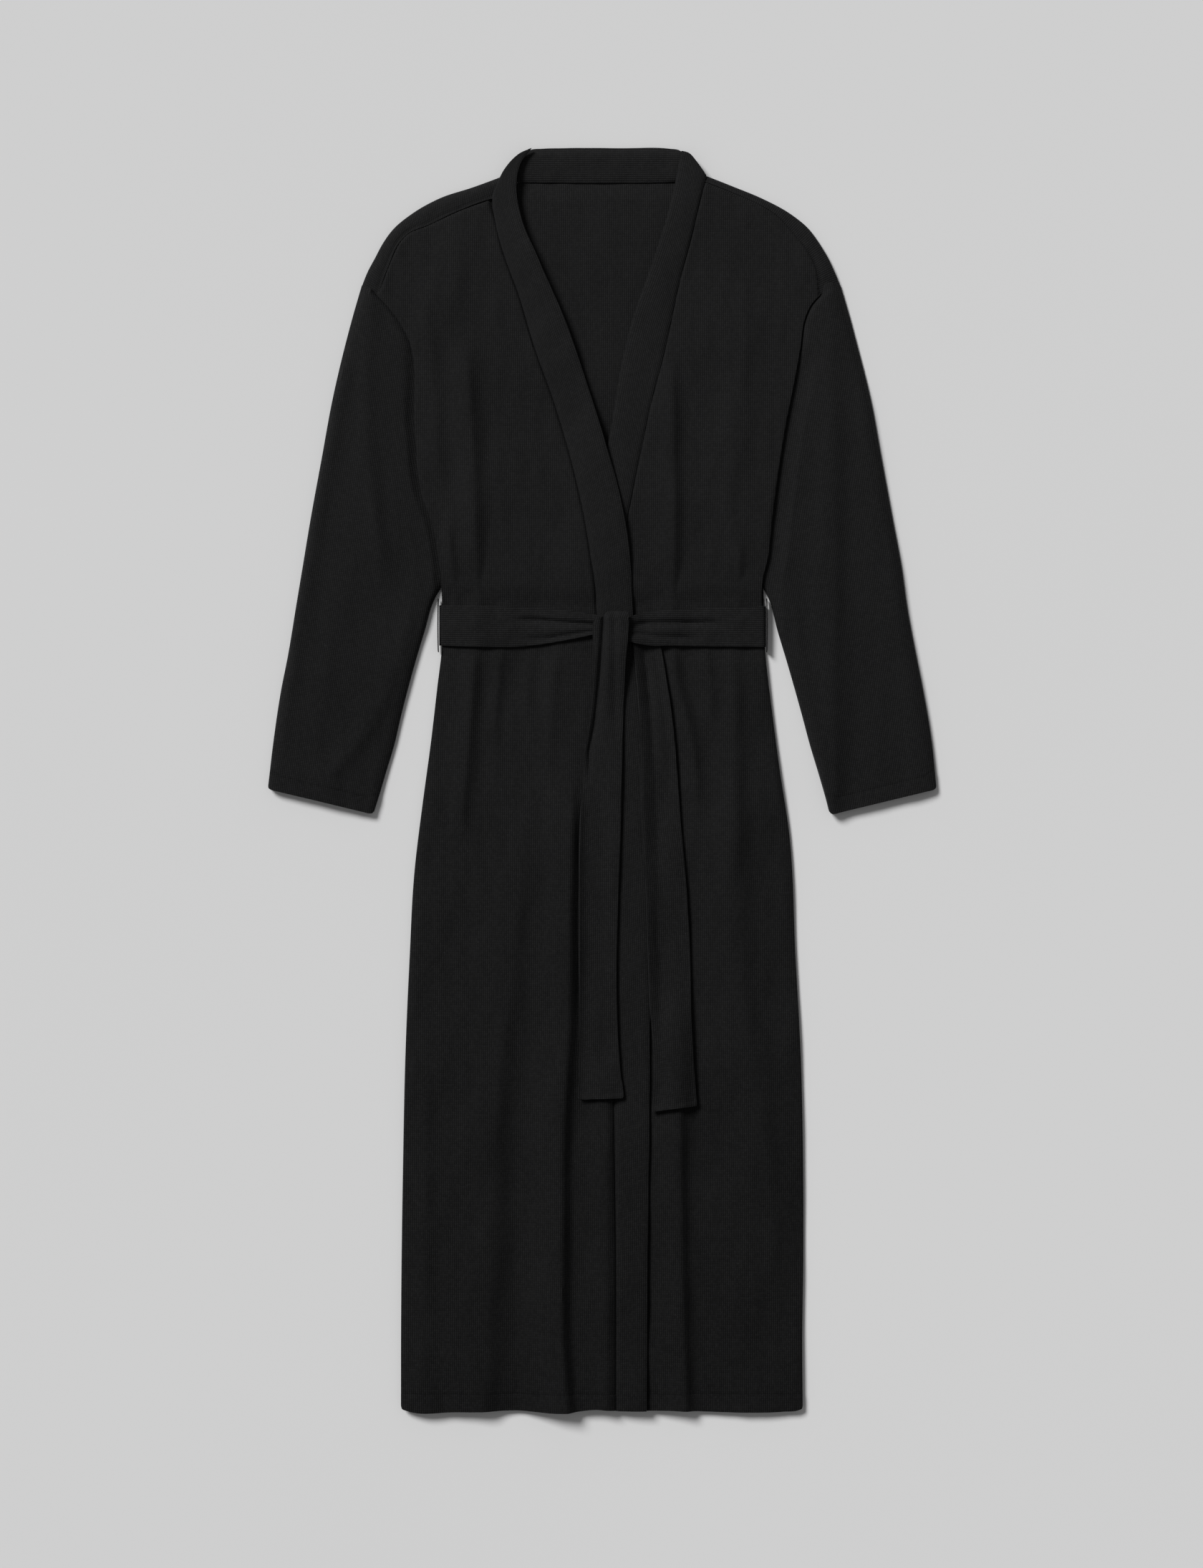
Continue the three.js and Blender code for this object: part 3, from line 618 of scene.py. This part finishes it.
def sewSleeve(name, cut):
    even = np.linspace(0, 1, 41)
    u = 0.35 * (0.5 - 0.5 * np.cos(np.pi * even)) + 0.65 * even  # closer rows at both edges
    v = spread(150, (0.03, 0.02, 2), (1, 0.04, 1))
    left, right = ("outer", "inner") if cut["outward"] < 0 else ("inner", "outer")
    ends = [cut["cuff"], cut["armhole"]]
    if cut["outward"] > 0:
        ends = [line[::-1] for line in ends]
    plan = patch(ends[0], ends[1], cut[left], cut[right], u, v)
    x, y = plan[..., 0], plan[..., 1]
    fromLeft, fromRight = acrossFrom(plan, 0), acrossFrom(plan, -1)
    fromOuter, fromInner = (fromLeft, fromRight) if cut["outward"] < 0 else (fromRight, fromLeft)
    sink = cut["outward"] * (x - xAt(cut["edge"], y))  # how far outside the robe's side edge
    z = sleeveLay["high"] + foldHeight(x, y, cut["folds"]) + wobble(x, y, cut["seed"], 70, 240, 0.7)
    z += wobble(x, y, cut["seed"] + 1, 26, 90, 0.22)
    rise = quarterRound(fromOuter, sleeveLay["round"]) * quarterRound(fromInner, sleeveLay["round"])
    z = sleeveLay["middle"] + (z - sleeveLay["middle"]) * rise
    seam = ease((y - 425) / 45)  # by the armhole seam the cloth comes up close to the front again
    tucked = sleeveLay["tucked"] + sleeveLay["capRise"] * ease((sink - cut["gap"]) / cut["climb"])
    sewn = sleeveLay["seamLow"] + sleeveLay["seamRise"] * ease((sink + 0.5) / 7)
    z = np.minimum(z, tucked * (1 - seam) + sewn * seam)
    fromCuff = acrossEnd(plan, cut["cuff"])
    z -= sleeveLay["hemStep"] * (ease((fromCuff - sleeveLay["hem"] + 1.2) / 2.4) - 1)
    low = sleeveLay["low"] + sleeveLay["lowRise"] * ease((2 - sink) / 5)
    lowRise = quarterRound(fromOuter, 6) * quarterRound(fromInner, 6)
    lowZ = sleeveLay["middle"] - (sleeveLay["middle"] - low) * lowRise
    ring = np.concatenate([plan, plan[:, -2:0:-2], plan[:, :1]], 1)
    ringZ = np.concatenate([z, lowZ[:, -2:0:-2], z[:, :1]], 1)
    ringAway = np.concatenate([fromCuff, fromCuff[:, -2:0:-2], fromCuff[:, :1]], 1) - sleeveLay["hem"]
    knit = knitFlat(ring, ringZ, cut["turn"])
    piece = layCloth(name, ring, ringZ, bodyKnit, knit, sleeveLay["thick"], ringAway, tube=True)
    addToPile(plan, z)
    return piece


for side, cut in (("right", rightSleeveCut), ("left", leftSleeveCut)):
    sleeve = sewSleeve(side + "Sleeve", cut)
    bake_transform(sleeve)
    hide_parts(side + "_sleeve", side + "_sleeve_hem", side + "_sleeve_seam")
print("sleeves laid")


# Fronts: the left one first, then the right one over it, each with its sewn-on band

frontCut = {
    "thick": 1.3, "hemStitch": -643, "hemStep": 0.8, "tuck": 4, "seamDip": 4.2, "leftSeamDip": 1.8,
    "atShoulder": 7.0, "belowShoulder": 4.6,
    "rightHem": [(-211, -655), (-209.5, -658.5), (-205, -660), (-150, -661), (-90, -660), (-46, -661.5),
                 (-30, -661), (-8, -658.5), (14, -660)],
    "leftHem": [(-12, -659), (14, -659.5), (48, -660), (75, -659.5), (110, -661), (150, -661.8), (190, -661),
                (204, -659.8), (208.5, -658), (209.5, -655)],
}


def cutFront(name, side, seam, shoulder, mirrored):
    u = spread(96, (0, 0.04, 3), (1, 0.03, 1)) if not mirrored else spread(110, (1, 0.04, 3), (0, 0.03, 1))
    v = spread(330, (0.012, 0.006, 3), (0.62, 0.06, 0.7), (1, 0.012, 1.5))
    high = shoulder if mirrored else shoulder[:-1]
    corner = high[-1]
    tuck = frontCut["tuck"] * (-1 if mirrored else 1)
    seamShort = [(p[0] + tuck, p[1]) for p in seam if p[1] < corner[1] - 6] + [corner]
    if not mirrored:
        plan = patch([*frontCut["rightHem"][:-1], seamShort[0]], high, side, seamShort, u, v)
    else:
        plan = patch([seamShort[0], *frontCut["leftHem"][1:]], high[::-1], seamShort, side, u, v)
    x, y = plan[..., 0], plan[..., 1]
    fromSide, fromSeam = acrossFrom(plan, -1 if mirrored else 0), acrossFrom(plan, 0 if mirrored else -1)
    edge = sideHeight(y)
    inner = np.maximum(frontHeight(x, y), edge + 0.2)
    z = edge + (inner - edge) * quarterRound(fromSide, frontLay["edge"])
    z -= frontCut["leftSeamDip" if mirrored else "seamDip"] * ease((6.0 - fromSeam) / 3.6)
    fromTop = acrossEnd(plan, high)
    most = frontCut["atShoulder"] + frontCut["belowShoulder"] * ease((fromTop - 1.2) / 5)
    z = np.minimum(z, most + 40 * ease((fromTop - 8) / 60))  # the front goes in under the shoulder strip
    z += frontCut["hemStep"] * ease((-642 - y) / 2.5)
    if not mirrored:
        z += rightCover(x, y)
    z = np.maximum(z, backCut["top"] + frontCut["thick"] + 0.3)  # never into the back
    away = np.minimum(np.abs(y - frontCut["hemStitch"]), 60)
    piece = layCloth(name, plan, z, bodyKnit, knitFlat(plan, z), frontCut["thick"], away)
    addToPile(plan, z)
    return piece


bandCut = {"thick": 2.3, "turned": 1.0, "rise": 0.9, "leftRise": 0.4, "dome": 1.2, "seamDip": 2.1,
           "leftSeamDip": 1.3, "freeDip": 0.7}


def cutBand(name, seam, free, bend, mirrored):
    u, v = spread(18, (0, 0.12, 1.5), (1, 0.12, 1.5)), spread(340, (0.62, 0.06, 0.6))
    left, right = (seam, free) if not mirrored else (free, seam)
    plan = patch([left[0], right[0]], [left[-1], *bend, right[-1]], left, right, u, v)
    x, y = plan[..., 0], plan[..., 1]
    over = 1 - u[None, :] if mirrored else u[None, :]
    fromSeam, fromFree = acrossFrom(plan, -1 if mirrored else 0), acrossFrom(plan, 0 if mirrored else -1)
    z = frontHeight(0.5 * x + 0.5 * xAt(seam, y), y) + bandCut["leftRise" if mirrored else "rise"]
    z += bandCut["dome"] * np.sin(math.pi * over.clip(0, 1)) ** 0.8
    z -= bandCut["leftSeamDip" if mirrored else "seamDip"] * np.exp(-(fromSeam / 2.4) ** 2)
    z -= bandCut["freeDip"] * np.exp(-(fromFree / 2.5) ** 2)
    if mirrored:  # both bands stand up towards the neck, the right one more
        z += over * 2.5 * ease((y - 400) / 150) * (1 - 0.6 * ease((y - 600) / 55))
    else:
        z += rightCover(x, y)
        z += over * 5.5 * ease((y - 352) / 170) * (1 - 0.75 * ease((y - 622) / 38))
        z += 1.4 * over * ease((352 - y) / 60)
    z = np.maximum(z + wobble(x, y, 17, 80, 90, 0.3), backCut["top"] + bandCut["thick"] + 0.4)
    piece = layCloth(name, plan, z, bandKnit, knitStrip(plan, z), bandCut["thick"], None, bandCut["turned"])
    addToPile(plan, z)
    return piece


leftBend, rightBend = [(90, 654.5), (98, 646), (104, 638)], [(-102, 638), (-95.5, 646), (-86, 654)]
for side, edge, seam, free, bend, shoulder, mirrored in (
        ("left", leftSide, leftBandSeam, leftBandFree, leftBend, leftShoulderSeam, True),
        ("right", rightSide, rightBandSeam, rightBandFree, rightBend, rightShoulderSeam, False)):
    front = cutFront(side + "Front", edge, seam, shoulder, mirrored)
    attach(front, "robe")
    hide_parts(side + "_front_panel", side + "_front_hem",
                side + "_skirt_side_seam", side + "_bodice_side_seam")
    band = cutBand(side + "FrontBand", seam, free, bend, mirrored)
    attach(band, "robe")
    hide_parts(side + "_front_band")
    print(side + " front laid")


# Tails of the belt: the one behind is laid first, and the belt crosses over its top

frontTail = {
    "left": [(-25.5, -331), (-24.5, -294), (-22.5, -39), (-21, 0.5), (-17, 41), (-11.5, 94), (-9.5, 135),
             (-9.5, 164), (-8, 169)],
    "right": [(22, -330.5), (21.3, -322), (19, -308), (17.5, -290), (19, -39), (20, 0.5), (22, 81), (24, 121),
              (26.6, 150), (27, 169), (26, 174.5)],
    "bottom": [(-25.5, -331), (-24.8, -332.8), (-22.5, -333.6), (-10, -333.4), (5, -333), (17, -332.6),
               (20.8, -332.2), (22, -330.5)],
    "top": [(-8, 169), (0, 169.5), (4, 174), (14, 175.5), (26, 174.5)],
    "creases": [([(-14, 30), (-8, 62), (-4, 100), (-0.5, 145), (1.5, 178)], -4.4, 2.2, 3.4, 40),
                ([(13, 80), (12, 178)], -1.8, 5, 4, 50)],
    "step": 1.6,
    "body": "right_tail", "from": (0.009, 0.150, 0), "to": (0.006, 0.080, 0), "seed": 61,
}
backTail = {
    "left": [(51, -345), (52.5, -322), (53, -300), (51, -262), (47.5, -173), (45, -106), (39, -39), (38, 81),
             (34, 126), (31, 152)],
    "right": [(98.5, -338.5), (97.5, -325), (95.5, -300), (93, -253), (91, -173), (87, -106), (81, -39),
              (79, -9), (73, 61), (66, 108), (61, 137), (57, 152)],
    "bottom": [(51, -345), (52, -346.4), (55, -346.2), (68, -344.2), (82, -342.4), (95, -341.2), (98, -340.6),
               (98.5, -338.5)],
    "top": [(31, 152), (44, 152), (57, 152)],
    "creases": [([(52, 40), (47, 100), (40, 150)], -2.0, 4, 5, 50),
                ([(70, 30), (58, 110), (52, 150)], -1.2, 4, 4, 50)],
    "step": 0,
    "body": "left_tail", "from": (0.046, 0.138, 0), "to": (0.048, 0.068, 0), "seed": 66,
}
tailCut = {"thick": 2.6, "gap": 1.5, "dome": 0.9, "turnedEnd": 0.9, "overKnot": 16.5, "fall": 7,
           "turned": 1.1}


def softest(a, b, blend):  # the higher of two heights, with no crease where they cross
    return 0.5 * (a + b + np.sqrt((a - b) ** 2 + blend**2))


def hangTail(name, lines, overKnot):
    u, v = spread(30, (0, 0.1, 1.2), (1, 0.1, 1.2)), spread(170, (1, 0.1, 1.4), (0, 0.03, 2))
    plan = patch(lines["bottom"], lines["top"], lines["left"], lines["right"], u, v)
    x, y = plan[..., 0], plan[..., 1]
    rest = pileTop(x, y, 2.5, 5)
    if overKnot:
        rest = softest(rest, 4 + tailCut["overKnot"] * ease((y - 30) / 115), 1.6)
        rest -= tailCut["fall"] * (1 - quarterRound(176 - y, 9))  # down again behind the knot
    z = rest + tailCut["gap"] + tailCut["thick"] + tailCut["dome"] * np.sin(math.pi * u)[None] ** 0.7
    z += foldHeight(x, y, lines["creases"]) + wobble(x, y, lines["seed"], 50, 130, 0.5)
    fromEnd = acrossEnd(plan, lines["bottom"])
    z += tailCut["turnedEnd"] * ease((6 - fromEnd) / 5)
    z += lines["step"] * ease((x - 1) / 5) * ease((y - 60) / 80)
    piece = layCloth(name, plan, z, beltKnit, knitStrip(plan, z), tailCut["thick"], None, tailCut["turned"])
    addToPile(plan, z)
    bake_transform(piece)
    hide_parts(lines["body"].replace("_tail", "_belt_tail"))
    return piece


tailBehind = hangTail("leftBeltTail", backTail, False)


# Belt: round the waist and down both sides, tied in one knot with two hanging tails

beltCut = {"thick": 2.5, "turned": 1.1, "gap": 0.9, "dome": 0.8, "pinch": 2.2, "side": 170.9, "turnDown": 5.0,
           "sideLow": 1.9}
rightBeltLines = {"top": [(-172, 182), (-120, 181), (-45, 177), (4, 170)],
                  "bottom": [(-172, 140), (-125, 138.5), (-83, 139), (-40, 145), (4, 154)],
                  "creases": [([(167, -70), (164, -38), (161, 4)], -3.8, 4, 2.4, 34),
                              ([(147, -60), (152, -28), (157, 4)], -2.8, 3, 3, 34)],
                  "end": -4}
leftBeltLines = {"top": [(14, 165), (28, 169), (37, 173), (77, 177), (172, 181)],
                 "bottom": [(14, 147), (28, 143.5), (41, 140.5), (77, 139.5), (172, 138.5)],
                 "creases": [([(159, 14), (162.5, 42), (164, 95)], -3.8, 4, 2.6, 40),
                             ([(155, 14), (150, 50), (148, 80)], -2.4, 3, 3, 30)],
                 "end": 14}


def layBelt(name, lines, outward):
    flat = np.linspace(166, lines["end"], 62)
    turn = np.linspace(0, math.pi / 2, 6)[:-1]
    reach = beltCut["turnDown"]
    acrossX = np.r_[np.full(6, beltCut["side"]), beltCut["side"] - reach * (1 - np.cos(turn)), flat] * outward
    v = spread(28, (0, 0.08, 1.5), (1, 0.08, 1.5))
    order = np.argsort(smoothLine(lines["top"], np.linspace(0, 1, 99))[:, 0])
    topRun = smoothLine(lines["top"], np.linspace(0, 1, 99))[order]
    lowRun = smoothLine(lines["bottom"], np.linspace(0, 1, 99))
    topY = np.interp(acrossX, topRun[:, 0], topRun[:, 1])
    lowY = np.interp(acrossX, lowRun[:, 0], lowRun[:, 1])
    y = lowY[None] + (topY - lowY)[None] * v[:, None]
    x = np.repeat(acrossX[None], len(v), 0)
    rest = pileTop(np.clip(x, -164, 164), y, 2.5, 7.5) + beltCut["gap"] + beltCut["thick"]
    z = rest + beltCut["dome"] * np.sin(math.pi * v)[:, None] ** 0.7 + foldHeight(y, x, lines["creases"])
    z += wobble(x, y, 52, 60, 40, 0.3)
    z += beltCut["pinch"] * ease((70 - np.abs(x - 9)) / 50)
    settled = z[:, 11:12]
    z[:, 6:11] = settled - reach + reach * np.sin(turn)[None]
    z[:, :6] = np.linspace(0, 1, 7)[None, :6] * (settled - reach - beltCut["sideLow"]) + beltCut["sideLow"]
    plan = np.dstack([x, y])
    if outward > 0:
        plan, z = plan[:, ::-1], z[:, ::-1]
    knit = knitFlat(plan, z, 90)
    piece = layCloth(name, plan, z, beltKnit, knit, beltCut["thick"], None, beltCut["turned"])
    addToPile(plan, z)
    return piece


for side, lines, outward in (("right", rightBeltLines, -1), ("left", leftBeltLines, 1)):
    half = layBelt(side + "BeltHalf", lines, outward)
    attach(half, "robe")
    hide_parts("belt_" + side + "_half")
print("belt halves laid")


backBelt = {"top": 1.6, "thick": 1.3}


def cutBeltBack():
    u, v = np.linspace(0, 1, 60), np.linspace(0, 1, 9)
    plan = patch([(-168, 140), (0, 139.5), (168, 140)], [(-168, 182), (0, 182.5), (168, 182)],
                 [(-168, 140), (-168, 182)], [(168, 140), (168, 182)], u, v)
    z = np.full(plan.shape[:2], backBelt["top"])
    return layCloth("beltBack", plan, z, beltKnit, knitFlat(plan, z, 90), backBelt["thick"])


beltBack = cutBeltBack()
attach(beltBack, "robe")
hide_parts("belt_back")

loopCut = {"low": 133, "high": 189, "side": 172.1, "bottom": 2.6, "wide": 7.6, "bow": 0.5, "thick": 1.0}


def sewLoop(name, outward):
    v = np.linspace(0, 1, 26)[:, None]
    up = np.linspace(0, 1, 7)[None, :]
    y = loopCut["low"] + (loopCut["high"] - loopCut["low"]) * v + 0 * up
    x = outward * (loopCut["side"] + loopCut["bow"] * np.sin(math.pi * v) ** 0.5 + 0 * up)
    z = loopCut["bottom"] + loopCut["wide"] * (up if outward < 0 else 1 - up) + 0 * v
    knit = np.dstack([y, z]) * mm
    return layCloth(name, np.dstack([x, y]), z, beltKnit, knit, loopCut["thick"], None, 0.35)


for side, outward in (("right", -1), ("left", 1)):
    loop = sewLoop(side + "BeltLoop", outward)
    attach(loop, "robe")
    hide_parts(side + "_belt_loop")


# Knot, with the front tail over it

knotCut = {"left": -9, "right": 27, "bottom": 143, "top": 170, "low": 9, "high": 19, "square": 2.8,
           "crease": 0.06}


def tieKnot():
    bpy.ops.object.select_all(action="DESELECT")
    bpy.ops.mesh.primitive_cube_add(size=1)
    knot = bpy.context.object
    knot.name = knot.data.name = "beltKnot"
    bpy.ops.object.mode_set(mode="EDIT")
    bpy.ops.mesh.select_all(action="SELECT")
    bpy.ops.mesh.subdivide(number_cuts=17)
    bpy.ops.object.mode_set(mode="OBJECT")
    mesh = knot.data
    co = np.zeros(len(mesh.vertices) * 3, np.float32)
    mesh.vertices.foreach_get("co", co)
    p = co.reshape(-1, 3) * 2.0
    small = np.array([knotCut["left"], knotCut["bottom"], knotCut["low"]])
    large = np.array([knotCut["right"], knotCut["top"], knotCut["high"]])
    p = p / (np.abs(p) ** knotCut["square"]).sum(1)[:, None] ** (1 / knotCut["square"])
    crease = knotCut["crease"] * np.sin(7 * p[:, 1] + 2.5 * p[:, 0]) * (p[:, 2] > 0)
    p = p * (1 + crease[:, None] * np.array([0.3, 0.3, 1.0]))
    p = p * (large - small) / 2 + (large + small) / 2
    mesh.vertices.foreach_set("co", (p * mm).astype(np.float32).ravel())
    corner = np.zeros(len(mesh.loops), np.int32)
    mesh.loops.foreach_get("vertex_index", corner)
    mesh.uv_layers[0].name = "knitMap"
    knit = (p[:, [1, 0]] + p[:, [2, 2]] * 0.7) * mm
    mesh.uv_layers[0].data.foreach_set("uv", knit[corner].astype(np.float32).ravel())
    away = mesh.attributes.new("stitch", "FLOAT", "POINT")
    away.data.foreach_set("value", np.full(len(mesh.vertices), 60, np.float32))
    mesh.update()
    bpy.ops.object.shade_smooth()
    mesh.materials.clear()
    mesh.materials.append(beltKnit)
    return knot


knot = tieKnot()
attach(knot, "robe")
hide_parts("knot")

tailInFront = hangTail("rightBeltTail", frontTail, True)
print("knot and tails laid")


# Floor, light and camera

def paleFloor():
    bpy.ops.object.select_all(action="DESELECT")
    bpy.ops.mesh.primitive_plane_add(size=9, location=(0, 0, -0.0004))
    floor = bpy.context.object
    floor.name = "floor"
    bpy.ops.object.transform_apply(location=True)
    paper = bpy.data.materials.new("palePaper")
    paper.use_nodes = True
    tree = paper.node_tree
    shader = tree.nodes["Principled BSDF"]
    shader.inputs["Roughness"].default_value = 0.9
    shader.inputs["Specular IOR Level"].default_value = 0.1
    place, cloud = tree.nodes.new("ShaderNodeTexCoord"), tree.nodes.new("ShaderNodeTexNoise")
    cloud.inputs["Scale"].default_value = 1.3
    tree.links.new(place.outputs["Object"], cloud.inputs["Vector"])
    colour = tree.nodes.new("ShaderNodeMix")
    colour.data_type = "RGBA"
    colour.inputs["A"].default_value = (0.775, 0.775, 0.775, 1)
    colour.inputs["B"].default_value = (0.795, 0.795, 0.797, 1)
    tree.links.new(cloud.outputs[0], colour.inputs["Factor"])
    tree.links.new(colour.outputs["Result"], shader.inputs["Base Color"])
    floor.data.materials.append(paper)


def softLight():
    sun = bpy.data.lights.new("window", "SUN")
    sun.energy = 2.86
    sun.angle = math.radians(22)
    lamp = bpy.data.objects.new("window", sun)
    bpy.context.collection.objects.link(lamp)
    lamp.rotation_euler = (math.radians(-33), math.radians(-38), 0)
    world = bpy.context.scene.world or bpy.data.worlds.new("room")
    bpy.context.scene.world = world
    world.use_nodes = True
    sky = world.node_tree.nodes.get("Background") or world.node_tree.nodes.new("ShaderNodeBackground")
    sky.inputs["Color"].default_value = (1, 1, 1, 1)
    sky.inputs["Strength"].default_value = 0.19
    bpy.context.scene.view_settings.view_transform = "Standard"


def cameraAbove():
    lens = bpy.data.cameras.new("above")
    lens.lens = 85
    lens.sensor_fit = "VERTICAL"
    lens.sensor_height = 36
    camera = bpy.data.objects.new("above", lens)
    bpy.context.collection.objects.link(camera)
    camera.location = (-0.0011, -0.0049, 85 / 36 * 1.6425)
    bpy.context.scene.camera = camera


paleFloor()
softLight()
cameraAbove()
print("floor, light and camera set")
